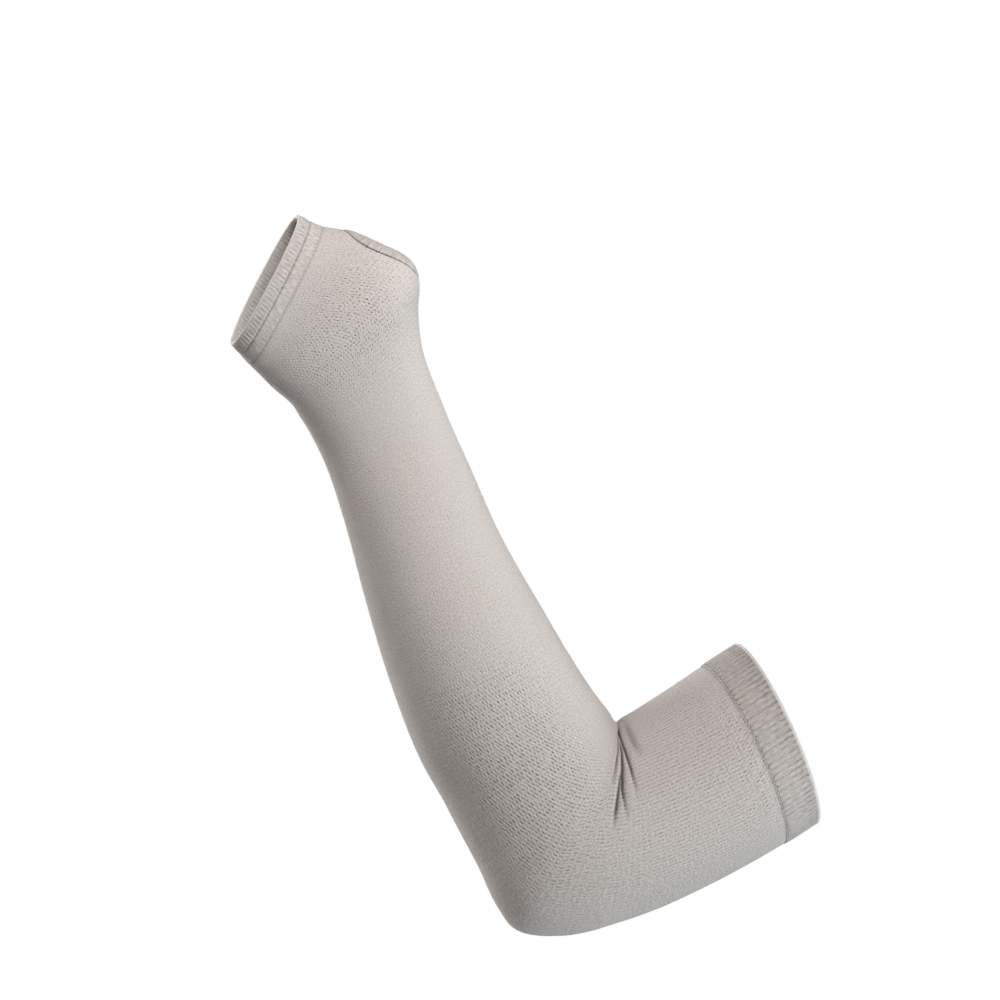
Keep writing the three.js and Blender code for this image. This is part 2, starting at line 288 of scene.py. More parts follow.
def closed_mesh(name, points, knit):
    """A ring of rows joined to the first again. knit holds one more column than points."""
    row_count, column_count = points.shape[:2]
    row, column = np.meshgrid(np.arange(row_count), np.arange(column_count), indexing="ij")
    next_row = (row + 1) % row_count
    next_column = (column + 1) % column_count
    corners = ((row, column), (next_row, column), (next_row, next_column), (row, next_column))
    faces = np.stack([r * column_count + c for r, c in corners], -1).reshape(-1, 4)
    map_corners = ((row, column), (next_row, column), (next_row, column + 1), (row, column + 1))
    places = np.stack([knit[r, c] for r, c in map_corners], -2).reshape(-1, 2)
    mesh = bpy.data.meshes.new(name)
    mesh.from_pydata((points.reshape(-1, 3) * MM).tolist(), [], faces.tolist())
    mesh.uv_layers.new(name=KNIT_MAP).data.foreach_set("uv", places.ravel())
    mesh.shade_smooth()
    piece = bpy.data.objects.new(name, mesh)
    bpy.context.collection.objects.link(piece)
    return piece


def triangles(piece):
    return sum(len(face.vertices) - 2 for face in piece.data.polygons)


print("Every mesh gets the map", KNIT_MAP)

# %% A wall of cloth
FULL_TURN = 2 * math.pi


def share_round(stations, angles):
    """How far round its section each column stands, from 0 to 1, with the closing column."""
    closed = np.append(angles, angles[0] + FULL_TURN)
    points = smooth_face(*np.broadcast_arrays(stations[:, None], closed[None, :]))[0]
    lengths = np.linalg.norm(np.diff(points, axis=1), axis=-1)
    travelled = np.hstack([np.zeros((len(stations), 1)), np.cumsum(lengths, axis=1)])
    return travelled / travelled[:, -1:]


def wall(name, stations, heights, angles, ribs=0.0, shift=0.0):
    """A closed wall from its rows. ribs raises its points, and shift moves them along the sleeve."""
    points = cloth(stations[:, None] + shift, angles[None, :], heights[:, None] + ribs)
    share = share_round(stations, angles)
    along = np.broadcast_to(stations[:, None], share.shape)
    return closed_mesh(name, points, np.stack([share, along], -1))


each_degree = np.radians(np.arange(360))
elbow_share = share_round(np.array([station_of["elbow_tip"]]), each_degree)[0]
print(f"At the elbow, a quarter turn is {elbow_share[90]:.3f} of the way round the cloth.")

# %% [markdown]
# ## The knitted tube
# The real tube comes off a round knitting machine without a side seam, so it is one mesh. An
# even grid that is fine enough for the folds would have several times the triangles that it
# needs. So the rows stand close together only where the folds are, and the columns stand closer
# at the crease. The lining has a quarter of the rows. The last rows at each end dip, so that the
# seams with the two bands read as grooves.
#
# A row of ROW_STEPS says where a stretch starts and ends and how far apart its rows stand. A row
# of SEAM_DIP has a distance from the end of the tube and the height there.

# %% Rows of the tube
SLEEVE_WALL = 1.2
SEAM_GAP = 0.3
FINEST_FROM = 86.0
ROW_STEPS = (
    ("arm_seam", FOLDS_FROM, 2.2),
    (FOLDS_FROM, FINEST_FROM, 0.8),
    (FINEST_FROM, FOLDS_TO, 0.5),
    (FOLDS_TO, "hand_heel", 2.6),
    ("hand_heel", "palm_seam", 1.4),
)
SEAM_DIP = ((0.0, -0.45), (0.5, -0.32), (1.0, -0.18), (1.6, -0.07), (2.4, 0.0))
ROWS_TO_LINING_ROW = 4
tube_start = station_of["arm_seam"] + SEAM_GAP / 2
tube_end = station_of["palm_seam"] - SEAM_GAP / 2

outside = []
for first, last, step in ROW_STEPS:
    first = station_of.get(first, first)
    last = station_of.get(last, last)
    outside.extend(np.linspace(first, last, math.ceil((last - first) / step), endpoint=False))
dip_reach, dip_height = np.array(SEAM_DIP).T
outside = [s for s in outside if tube_start + dip_reach[-1] < s < tube_end - dip_reach[-1]]
outside = np.concatenate([tube_start + dip_reach, outside, (tube_end - dip_reach)[::-1]])
from_seam = np.minimum(outside - tube_start, tube_end - outside)
outside_heights = np.interp(from_seam, dip_reach, dip_height)
lining = np.append(outside[::-ROWS_TO_LINING_ROW], tube_start)
tube_rows = np.concatenate([outside, lining])
tube_heights = np.concatenate([outside_heights, np.full(len(lining), -SLEEVE_WALL)])
print(f"The tube has {len(outside)} rows outside and {len(lining)} inside.")

# %% Build the tube
SLEEVE_COLUMNS = 240
CREASE_CLOSENESS = 0.4
even = np.arange(SLEEVE_COLUMNS) / SLEEVE_COLUMNS * FULL_TURN
tube_angles = even - CREASE_CLOSENESS * np.sin(even)
sleeve = wall("sleeve_knit", tube_rows, tube_heights, tube_angles)
print(f"sleeve_knit: {triangles(sleeve)} triangles")

# %% [markdown]
# ### Shade in the folds and seams
# Hardly any light gets down into a slit or a seam. The slits are narrower than the loops of the
# knit, and light bounces out of smooth walls more easily than out of cloth. So each point
# carries the shade that the fold and seam formulas give it, and the material reads it. Painting
# it by hand would work too, but a formula stays right when a fold moves.

# %% Shade of each point
SHADE = "FoldShade"
ARM_SEAM_SHADE = 0.30
PALM_SEAM_SHADE = 0.28
SEAM_SHADE_HALF = 1.1
fold_shade = folds_at(*np.broadcast_arrays(tube_rows[:, None], tube_angles[None, :]))[1]
arm_shade = ARM_SEAM_SHADE * bell(tube_rows - tube_start, SEAM_SHADE_HALF)
palm_shade = PALM_SEAM_SHADE * bell(tube_end - tube_rows, SEAM_SHADE_HALF)
point_shade = np.maximum(fold_shade, (arm_shade + palm_shade)[:, None])
sleeve.data.attributes.new(SHADE, "FLOAT", "POINT").data.foreach_set("value", point_shade.ravel())
print(f"Darkest point: {point_shade.max():.2f}")

# %% [markdown]
# ## Cutting the hole
# On the real sleeve the hole is cut out of the finished tube and its raw edge is then bound. A
# boolean with an oval block does the same. Deleting the faces inside the oval would be simpler,
# but it leaves a ragged edge. Before the cut, the uncut face is kept as a search tree, because
# the binding lies on it.

# %% An oval block
HOLE_HALF_LONG = 21.6
HOLE_HALF_DEEP = 14.6
HOLE_CUT_HEIGHT = 26.0
HOLE_SIDES = 160
hole_deep = np.array([0.0, 1.0, 0.0])


def oval(half_long, half_deep, count):
    """Points of an oval round the middle of the hole, square to the way through it."""
    round_it = np.arange(count) / count * FULL_TURN
    points = HOLE_MIDDLE + np.outer(np.cos(round_it), hole_long) * half_long
    return points + np.outer(np.sin(round_it), hole_deep) * half_deep


rim = oval(HOLE_HALF_LONG, HOLE_HALF_DEEP, HOLE_SIDES)
half_way = hole_way * HOLE_CUT_HEIGHT / 2
block_faces = [tuple(range(HOLE_SIDES - 1, -1, -1)), tuple(range(HOLE_SIDES, 2 * HOLE_SIDES))]
for side in range(HOLE_SIDES):
    after = (side + 1) % HOLE_SIDES
    block_faces.append((side, after, after + HOLE_SIDES, side + HOLE_SIDES))
block_mesh = bpy.data.meshes.new("hole_block")
block_mesh.from_pydata((np.vstack([rim - half_way, rim + half_way]) * MM).tolist(), [], block_faces)
block = bpy.data.objects.new("hole_block", block_mesh)
bpy.context.collection.objects.link(block)
print(f"The block is {2 * HOLE_HALF_LONG:.0f} by {2 * HOLE_HALF_DEEP:.0f} mm.")

# %% Cut the hole
SHARP_EDGE = math.radians(50)
uncut = BVHTree.FromObject(sleeve, bpy.context.evaluated_depsgraph_get())
cut = sleeve.modifiers.new("thumb hole", "BOOLEAN")
cut.operation = "DIFFERENCE"
cut.solver = "EXACT"
cut.object = block
cut_sleeve = sleeve.evaluated_get(bpy.context.evaluated_depsgraph_get())
cut_mesh = bpy.data.meshes.new_from_object(cut_sleeve)
sleeve.modifiers.clear()
sleeve.data = cut_mesh
sleeve.data.set_sharp_from_angle(angle=SHARP_EDGE)
bpy.data.objects.remove(block)
print(f"sleeve_knit with its hole: {triangles(sleeve)} triangles")

# %% [markdown]
# ## The binding of the hole
# The binding is a flat folded strip that lies in the face of the sleeve, inside the hole. A
# bevelled curve would be quick, but it makes a round cord and twists where the hole turns. So
# the strip has a profile that runs from the seam, over the top, round the open edge and back
# underneath. Each point of it is an oval ring that is dropped onto the uncut sleeve.
# A row of the profile has a place across the strip, from 0 to 1, and a height.

# %% Profile of the binding
BINDING_LONG = 5.0
BINDING_DEEP = 5.7
BINDING_COLUMNS = 220
BINDING_PROFILE = (
    (0.00, -0.75), (0.02, -0.25), (0.07, 0.15), (0.16, 0.36), (0.32, 0.44), (0.50, 0.46),
    (0.68, 0.44), (0.82, 0.36), (0.92, 0.16), (0.98, -0.16), (1.00, -0.50), (0.98, -0.90),
    (0.92, -1.22), (0.80, -1.38), (0.50, -1.40), (0.20, -1.40), (0.05, -1.30),
)


def drop_on_sleeve(points):
    """Where points above the hole land on the uncut sleeve, and which way is out there."""
    hits = []
    for point in points:
        start = Vector((point + hole_way * HOLE_CUT_HEIGHT) * MM)
        hits.append(uncut.ray_cast(start, Vector(-hole_way))[:2])
    places = np.array([place for place, _ in hits]) / MM
    outward = np.array([normal for _, normal in hits])
    return places, outward


print(f"The binding is {BINDING_LONG} mm wide at the ends of the hole.")

# %% Build the binding
BINDING_MAP_HEIGHT = 10.0
binding_rows = []
for across, height in BINDING_PROFILE:
    ring = oval(
        HOLE_HALF_LONG - SEAM_GAP - (BINDING_LONG - SEAM_GAP) * across,
        HOLE_HALF_DEEP - SEAM_GAP - (BINDING_DEEP - SEAM_GAP) * across,
        BINDING_COLUMNS,
    )
    places, outward = drop_on_sleeve(ring)
    binding_rows.append(places + outward * height)
binding_points = np.array(binding_rows)
binding_length = np.linalg.norm(np.diff(binding_points[0], axis=0), axis=1).sum()
round_binding = np.linspace(0, binding_length, BINDING_COLUMNS + 1)
over_binding = BINDING_MAP_HEIGHT * np.arange(len(BINDING_PROFILE)) / len(BINDING_PROFILE)
binding_map = np.stack(np.broadcast_arrays(round_binding[None, :], over_binding[:, None]), -1)
binding = closed_mesh("thumb_binding_knit", binding_points, binding_map)
print(f"thumb_binding_knit: {binding_length:.0f} mm round, {triangles(binding)} triangles")

# %% [markdown]
# ## The two ribbed bands
# At both ends the cloth is doubled and knitted in ribs, so that it grips without cutting in.
# Ribs could be a bump in the material, but they show on the outline and at the seams, so they
# are modelled. A row of a band's profile has:
#
# - across: how far across the band it stands, from 0 to 1
# - height: its height over the face of the sleeve
# - relief: how high its ribs are
# - push: how far the ribs push it along the sleeve
#
# At the seam each band ends in a thin lip that lies over the end of the tube, and the push makes
# the lip's edge wavy. So the seam reads as one cloth stitched onto another. No two knitted ribs
# are quite alike: a row of RIB_WAVES says how much their height changes, and how many radians
# the wave turns from one rib to the next.

# %% Profiles of the bands
PROFILE_COLUMNS = ("across", "height", "relief", "push")
ARM_PROFILE = (
    (0.000, -0.90, 0.00, 0.0), (0.004, -0.30, 0.00, 0.0), (0.014, 0.20, 0.02, 0.0),
    (0.030, 0.50, 0.04, 0.0), (0.046, 0.54, 0.05, 0.0), (0.060, 0.42, 0.10, 0.0),
    (0.075, 0.26, 0.22, 0.0), (0.100, 0.24, 0.30, 0.0), (0.150, 0.28, 0.32, 0.0),
    (0.220, 0.32, 0.29, 0.0), (0.300, 0.36, 0.24, 0.0), (0.400, 0.40, 0.18, 0.0),
    (0.500, 0.42, 0.14, 0.0), (0.600, 0.42, 0.14, 0.0), (0.700, 0.42, 0.18, 0.0),
    (0.800, 0.40, 0.24, 0.0), (0.870, 0.38, 0.28, 0.0), (0.920, 0.36, 0.32, 0.1),
    (0.955, 0.32, 0.34, 0.3), (0.985, 0.26, 0.30, 0.5), (1.008, 0.18, 0.20, 0.7),
    (1.022, 0.08, 0.08, 0.7), (1.028, 0.00, 0.00, 0.7), (1.024, -0.06, 0.00, 0.6),
    (1.008, -0.12, 0.00, 0.2), (1.000, -0.60, 0.00, 0.0),
)
PALM_PROFILE = (
    (0.000, -0.60, 0.00, 0.0), (-0.010, -0.14, 0.00, 0.0), (-0.040, -0.08, 0.00, -0.2),
    (-0.048, 0.00, 0.02, -0.3), (-0.040, 0.07, 0.03, -0.3), (-0.015, 0.12, 0.04, -0.2),
    (0.020, 0.14, 0.04, 0.0), (0.080, 0.15, 0.03, 0.0), (0.140, 0.15, 0.03, 0.0),
    (0.220, 0.15, 0.03, 0.0), (0.300, 0.15, 0.03, 0.0), (0.370, 0.14, 0.03, 0.0),
    (0.420, 0.06, 0.03, 0.0), (0.450, -0.06, 0.02, 0.0), (0.472, -0.22, 0.00, 0.0),
    (0.490, -0.22, 0.00, 0.0), (0.510, -0.02, 0.05, 0.0), (0.535, 0.10, 0.12, 0.0),
    (0.580, 0.18, 0.20, 0.0), (0.660, 0.22, 0.24, 0.0), (0.760, 0.26, 0.24, 0.0),
    (0.850, 0.26, 0.22, 0.0), (0.910, 0.26, 0.14, 0.0), (0.945, 0.26, 0.08, 0.0),
    (0.970, 0.16, 0.03, 0.0), (0.988, -0.10, 0.00, 0.0), (1.000, -0.50, 0.00, 0.0),
)
print(len(ARM_PROFILE), "rows across the arm band,", len(PALM_PROFILE), "across the palm band")

# %% Ribs round a band
ARM_RIBS = 96
PALM_RIBS = 84
RIB_COLUMNS = 8
RIB_ROUNDNESS = 0.7
RIB_MEAN = 0.65
RIB_WAVES = ((0.25, 2.4), (0.15, 5.1))
FINE_STEPS = 4000


def even_angles(station, count):
    """Angles that stand evenly along the cloth round a section."""
    fine = np.linspace(0, FULL_TURN, FINE_STEPS + 1)
    loop = smooth_face(np.full_like(fine, station), fine)[0]
    travelled = np.concatenate([[0], np.cumsum(np.linalg.norm(np.diff(loop, axis=0), axis=1))])
    return np.interp(np.arange(count) / count * travelled[-1], travelled, fine)


def round_ribs(ribs):
    """The height of each column for ribs 1 high: round, with narrow valleys, and each a bit different."""
    phase = np.arange(ribs * RIB_COLUMNS) / RIB_COLUMNS
    number = np.floor(phase + 0.5)
    each_rib = 1 + sum(amount * np.sin(step * number) for amount, step in RIB_WAVES)
    return (np.abs(np.cos(math.pi * phase)) ** RIB_ROUNDNESS - RIB_MEAN) * each_rib


print(f"Ribs 1 high reach from {round_ribs(ARM_RIBS).min():.2f} to {round_ribs(ARM_RIBS).max():.2f}.")

# %% Build the bands
EDGE_WALL = 1.8
EDGE_PROUD = 0.4
LINING_ACROSS = np.array([0.985, 0.5, 0.015])


def ribbed_band(name, first, last, profile, ribs):
    rows = dict(zip(PROFILE_COLUMNS, np.array(profile).T))
    smooth_rows = np.zeros(len(LINING_ACROSS))
    stations = first + (last - first) * np.concatenate([rows["across"], LINING_ACROSS])
    heights = np.concatenate([rows["height"], smooth_rows + EDGE_PROUD - EDGE_WALL])
    relief = np.concatenate([rows["relief"], smooth_rows])
    push = np.concatenate([rows["push"], smooth_rows])
    angles = even_angles((first + last) / 2, ribs * RIB_COLUMNS)
    rib_height = round_ribs(ribs)
    return wall(name, stations, heights, angles, np.outer(relief, rib_height), np.outer(push, rib_height))


arm_band_end = station_of["arm_seam"] - SEAM_GAP / 2
palm_band_start = station_of["palm_seam"] + SEAM_GAP / 2
arm_band = ribbed_band("arm_cuff_rib", 0.0, arm_band_end, ARM_PROFILE, ARM_RIBS)
palm_band = ribbed_band("palm_cuff_rib", palm_band_start, knots[-1], PALM_PROFILE, PALM_RIBS)
for band in (arm_band, palm_band):
    print(f"{band.name}: {triangles(band)} triangles")

# %% [markdown]
# ## One yarn
# All the cloth is knitted from one light grey yarn of textured nylon with elastane. Its crimped
# filaments scatter light, so the cloth looks matt and soft, with no highlight and a faint sheen
# at its edges. Node trees can be drawn in the editor, but in code each size has a name.
#
# One function turns an sRGB hex value into the linear colour that a shader needs. Another adds a
# node, sets it up and links its inputs. Sockets that share a name go by number: 6 and 7 are the
# two colours of a Mix node. The yarn has three colours: its lit loops, the gaps between them,
# which is also the colour of the painted shade in folds, seams and rib valleys, and a painted
# highlight along the rim where each band is turned over.

# %% Material helpers
YARN_LIGHT = "#e5dbd5"
YARN_DARK = "#6b615c"
# painted highlight: a pale colour along the turned-over rim of each band
YARN_PAINTED_HIGHLIGHT = "#f2efec"


def linear(hex_colour):
    """The linear colour, with alpha, of an sRGB hex value."""
    parts = [int(hex_colour[i:i + 2], 16) / 255 for i in (1, 3, 5)]
    parts = [p / 12.92 if p <= 0.04045 else ((p + 0.055) / 1.055) ** 2.4 for p in parts]
    return (*parts, 1.0)


def new_material(name):
    """A new material and its empty node tree."""
    material = bpy.data.materials.new(name)
    material.use_nodes = True
    material.node_tree.nodes.clear()
    return material, material.node_tree


def add(tree, kind, inputs=None, **settings):
    """Adds a node. inputs gives a value, or an output to link, for each socket."""
    made = tree.nodes.new("ShaderNode" + kind)
    for name, value in settings.items():
        setattr(made, name, value)
    for name, value in (inputs or {}).items():
        if isinstance(value, bpy.types.NodeSocket):
            tree.links.new(value, made.inputs[name])
        else:
            made.inputs[name].default_value = value
    return made


print("Yarn colour, linear:", [round(c, 3) for c in linear(YARN_LIGHT)])

# %% [markdown]
# ### Zones along a piece
# A knit changes along the sleeve: it is open here, close there, and a seam gets painted shade.
# Painted masks could say where, but a table of places in millimetres is exact. A colour ramp
# follows the table, and its red, green and blue carry three values at once. A row of KNIT_ZONES,
# the tube's table, has a station and says how open the holes are there, how strongly the wales
# show as lines, and how dark the cloth is all over.

# %% Zone tables
KNIT_ZONES = (
    (18, 0.60, 0.30, 0.00), (26, 0.65, 0.35, 0.00), (36, 0.24, 0.60, 0.02), (70, 0.17, 0.62, 0.02),
    (90, 0.34, 0.42, 0.00), (118, 0.72, 0.20, 0.00), (140, 1.00, 0.20, 0.00), (185, 0.85, 0.20, 0.02),
    (212, 0.28, 0.15, 0.08), (270, 0.14, 0.15, 0.10), (325, 0.12, 0.15, 0.10), (338, 0.05, 0.15, 0.10),
    (352, 0.55, 0.15, 0.06), (370, 0.86, 0.15, 0.02), (392, 0.84, 0.15, 0.02), (404, 0.45, 0.12, 0.08),
    (413, 0.20, 0.10, 0.10),
)


def zone_values(tree, along, zones, first, last):
    """Three outputs that follow a zone table: each row has a place along the piece and three values."""
    share = add(tree, "MapRange", {"Value": along, "From Min": first, "From Max": last})
    ramp = add(tree, "ValToRGB", {"Fac": share.outputs["Result"]})
    ramp.color_ramp.interpolation = "EASE"
    for place, *values in zones:
        stop = ramp.color_ramp.elements.new((place - first) / (last - first))
        stop.color = (*values, 1.0)
    ramp.color_ramp.elements.remove(ramp.color_ramp.elements[0])
    ramp.color_ramp.elements.remove(ramp.color_ramp.elements[-1])
    return add(tree, "SeparateColor", {"Color": ramp.outputs["Color"]}).outputs


print(f"{len(KNIT_ZONES)} zones from {KNIT_ZONES[0][0]} to {KNIT_ZONES[-1][0]} mm along the sleeve")

# %% [markdown]
# ## Mesh jersey
# The tube is mesh jersey: a fine knit with rows of small slanted holes that let air through. An
# image of a knit would blur close up and repeat, so nodes draw it on the knit map. There are 150
# holes round the sleeve, in rows 2.3 mm apart. Each row is shifted by six tenths of a hole, so
# that the eye follows slanting lines. Near the palm the holes are rounder and closer.
#
# The first nodes count wales round the sleeve and courses along it. A row of KNIT_SIZES has a
# value for most of the sleeve and a value for the palm: wales in the whole round, millimetres
# from course to course, a hole's half height in courses, and two strengths from 0 to 1, for the
# faintest hole and for the holes on the inner side.

# %% Wales and courses
PALM_START = 338.0
KNIT_SIZES = {
    "wales": (150.0, 128.0),
    "course": (2.3, 1.9),
    "hole_half_tall": (0.44, 0.27),
    "faintest_hole": (0.3, 0.15),
    "inner_least": (0.2, 0.6),
}
jersey, tree = new_material("knitted nylon elastane mesh jersey")
knit = add(tree, "UVMap", uv_map=KNIT_MAP).outputs["UV"]
place = add(tree, "SeparateXYZ", {"Vector": knit}).outputs
zone = zone_values(tree, place["Y"], KNIT_ZONES, 0.0, float(knots[-1]))
on_palm = add(tree, "Math", {0: place["Y"], 1: PALM_START}, operation="GREATER_THAN").outputs[0]
knit_size = {}
for name, (mostly, at_palm) in KNIT_SIZES.items():
    chosen = add(tree, "MapRange", {"Value": on_palm, "To Min": mostly, "To Max": at_palm})
    knit_size[name] = chosen.outputs["Result"]
wale = add(tree, "Math", {0: place["X"], 1: knit_size["wales"]}, operation="MULTIPLY").outputs[0]
course = add(tree, "Math", {0: place["Y"], 1: knit_size["course"]}, operation="DIVIDE").outputs[0]
print("Knit sizes chosen by place:", ", ".join(knit_size))

# %% [markdown]
# ### The holes
# Each hole is a soft ellipse in its own cell of wales and courses. Holes could be cut through
# the mesh, but there are over 20,000, and at this size a dark dent looks the same. A white noise
# value for each cell moves its hole a little and makes some holes fainter, as yarn is never even.
# Sizes are in cells: half widths, and the range in which the middle of a hole may lie.

# %% A hole in each cell
ROW_SHIFT = 0.62
HOLE_SLANT = 0.245
HOLE_HALF_WIDE = 0.20
HOLE_EDGE = {"From Min": 1.35, "From Max": 0.45}
MIDDLE_UP = {"To Min": 0.40, "To Max": 0.60}
MIDDLE_ACROSS = {"To Min": 0.36, "To Max": 0.64}
row = add(tree, "Math", {0: course}, operation="FLOOR").outputs[0]
slanted = add(tree, "Math", {0: course, 1: -ROW_SHIFT, 2: wale}, operation="MULTIPLY_ADD").outputs[0]
column = add(tree, "Math", {0: slanted}, operation="FLOOR").outputs[0]
cell = add(tree, "CombineXYZ", {"X": column, "Y": row}).outputs["Vector"]
chance = add(tree, "TexWhiteNoise", {"Vector": cell}, noise_dimensions="2D").outputs["Color"]
throw = add(tree, "SeparateColor", {"Color": chance}).outputs
middle_up = add(tree, "MapRange", {"Value": throw["Red"], **MIDDLE_UP}).outputs["Result"]
middle_across = add(tree, "MapRange", {"Value": throw["Green"], **MIDDLE_ACROSS}).outputs["Result"]
in_row = add(tree, "Math", {0: course, 1: row}, operation="SUBTRACT").outputs[0]
in_column = add(tree, "Math", {0: slanted, 1: column}, operation="SUBTRACT").outputs[0]
up = add(tree, "Math", {0: in_row, 1: middle_up}, operation="SUBTRACT").outputs[0]
straight = add(tree, "Math", {0: in_column, 1: middle_across}, operation="SUBTRACT").outputs[0]
side = add(tree, "Math", {0: up, 1: HOLE_SLANT, 2: straight}, operation="MULTIPLY_ADD").outputs[0]
up_share = add(tree, "Math", {0: up, 1: knit_size["hole_half_tall"]}, operation="DIVIDE").outputs[0]
side_share = add(tree, "Math", {0: side, 1: HOLE_HALF_WIDE}, operation="DIVIDE").outputs[0]
off_middle = add(tree, "CombineXYZ", {"X": up_share, "Y": side_share}).outputs["Vector"]
distance = add(tree, "VectorMath", {0: off_middle}, operation="LENGTH").outputs["Value"]
hole = add(
    tree, "MapRange", {"Value": distance, **HOLE_EDGE}, interpolation_type="SMOOTHSTEP"
).outputs["Result"]
print(f"A hole is about {2 * HOLE_HALF_WIDE:.1f} of a wale wide.")

# %% [markdown]
# ### Where the holes are open
# Stretch opens the holes and slack closes them. They fade towards the inner and the outer side
# of the sleeve, where the cloth is slacker, but on the palm they stay open to the outer side.
# The cosine of the angle round the sleeve tells the sides apart. A mask painted on the mesh
# would do as well, but this needs no second map.

# %% Fade the holes
INNER_SIDE = {"From Min": 0.3, "From Max": 0.85}
OUTER_SIDE = {"From Min": -0.5, "From Max": -0.95}
OUTER_LEAST = 0.35
round_turn = add(tree, "Math", {0: place["X"], 1: FULL_TURN}, operation="MULTIPLY").outputs[0]
to_inner = add(tree, "Math", {0: round_turn}, operation="COSINE").outputs[0]
inner_fade = add(
    tree, "MapRange",
    {"Value": to_inner, **INNER_SIDE, "To Min": 1.0, "To Max": knit_size["inner_least"]},
    interpolation_type="SMOOTHSTEP",
).outputs["Result"]
outer_fade = add(
    tree, "MapRange", {"Value": to_inner, **OUTER_SIDE, "To Min": 1.0, "To Max": OUTER_LEAST},
    interpolation_type="SMOOTHSTEP",
).outputs["Result"]
outer_open = add(tree, "Math", {0: outer_fade, 1: on_palm}, operation="MAXIMUM").outputs[0]
side_open = add(tree, "Math", {0: inner_fade, 1: outer_open}, operation="MULTIPLY").outputs[0]
zone_open = add(tree, "Math", {0: zone["Red"], 1: side_open}, operation="MULTIPLY").outputs[0]
each_hole = add(
    tree, "MapRange", {"Value": throw["Blue"], "To Min": knit_size["faintest_hole"], "To Max": 1.0}
).outputs["Result"]
open_here = add(tree, "Math", {0: zone_open, 1: each_hole}, operation="MULTIPLY").outputs[0]
hole_mask = add(tree, "Math", {0: hole, 1: open_here}, operation="MULTIPLY").outputs[0]
print("The holes fade over", INNER_SIDE, "and", OUTER_SIDE)

# %% [markdown]
# ### Wale lines and fuzz
# Towards the upper-arm end the holes close up and the wales show as fine lines instead. A cosine
# across the wales draws them, because they have to meet the columns of holes. Loose filaments
# give the whole cloth a fuzz. They are about 0.02 mm thick, too fine to show in the picture, so
# noise draws the fuzz coarser: 0.7 mm along the sleeve and half a wale across.

# %% Lines and fuzz
LINE_TILT = 0.11
LINE_EDGE = {"From Min": 0.1, "From Max": 1.0}
FIBRE = 0.7
FIBRES_ROUND = 2 * KNIT_SIZES["wales"][0]
FUZZ_CONTRAST = {"From Min": 0.3, "From Max": 0.7}
line_place = add(tree, "Math", {0: course, 1: LINE_TILT, 2: wale}, operation="MULTIPLY_ADD").outputs[0]
line_turn = add(tree, "Math", {0: line_place, 1: FULL_TURN}, operation="MULTIPLY").outputs[0]
line_wave = add(tree, "Math", {0: line_turn}, operation="COSINE").outputs[0]
line = add(
    tree, "MapRange", {"Value": line_wave, **LINE_EDGE}, interpolation_type="SMOOTHSTEP"
).outputs["Result"]
fibre_place = add(
    tree, "Mapping", {"Vector": knit, "Scale": (FIBRES_ROUND, 1 / FIBRE, 1.0)}
).outputs["Vector"]
fuzz_noise = add(
    tree, "TexNoise", {"Vector": fibre_place, "Scale": 0.8, "Detail": 2.0, "Roughness": 0.7}
).outputs["Fac"]
fuzz = add(tree, "MapRange", {"Value": fuzz_noise, **FUZZ_CONTRAST}).outputs["Result"]
line_here = add(tree, "Math", {0: line, 1: zone["Green"]}, operation="MULTIPLY").outputs[0]
line_uneven = add(tree, "Math", {0: line_here, 1: fuzz}, operation="MULTIPLY").outputs[0]
gaps = add(tree, "Math", {0: line_uneven, 1: hole_mask}, operation="ADD").outputs[0]
print(f"Fuzz drawn at {FIBRE} mm")

# %% [markdown]
# ### The finish of the jersey
# Gaps and fuzz are darker and lie deeper, so one value both mixes the two yarn colours and makes
# the bump. Zone tone and fold shade only darken. The shader starts from nylon, with an IOR of
# 1.53. Half the usual specular level and a high roughness make it as matt as crimped yarn, and
# a little sheen stands for the fuzz that catches light at the edges. Diffuse and sheen shaders
# could be mixed instead, but one Principled shader holds both and can be exported.

# %% Jersey shader
FUZZ_SHARE = 0.5
FOLD_SHARE = 1.3
SHADE_SHARE = 0.70
KNIT_RELIEF = 0.4
rough = add(tree, "Math", {0: fuzz, 1: FUZZ_SHARE, 2: gaps}, operation="MULTIPLY_ADD").outputs[0]
toned = add(tree, "Math", {0: rough, 1: zone["Blue"]}, operation="ADD").outputs[0]
dark_fold = add(tree, "Attribute", attribute_name=SHADE).outputs["Fac"]
shade = add(tree, "Math", {0: dark_fold, 1: FOLD_SHARE, 2: toned}, operation="MULTIPLY_ADD").outputs[0]
dark = add(tree, "Math", {0: shade, 1: SHADE_SHARE}, operation="MULTIPLY", use_clamp=True).outputs[0]
yarn = add(
    tree, "Mix", {0: dark, 6: linear(YARN_LIGHT), 7: linear(YARN_DARK)}, data_type="RGBA"
).outputs[2]
height = add(tree, "Math", {0: 1.0, 1: rough}, operation="SUBTRACT").outputs[0]
relief = add(
    tree, "Bump", {"Height": height, "Strength": 1.0, "Distance": KNIT_RELIEF * MM}
).outputs["Normal"]
shader = add(
    tree, "BsdfPrincipled",
    {"Base Color": yarn, "Normal": relief, "Roughness": 0.86, "IOR": 1.53, "Specular IOR Level": 0.25,
     "Sheen Weight": 0.12, "Sheen Roughness": 0.5},
)
add(tree, "OutputMaterial", {"Surface": shader.outputs["BSDF"]})
sleeve.data.materials.append(jersey)
print(jersey.name, "has", len(tree.nodes), "nodes")
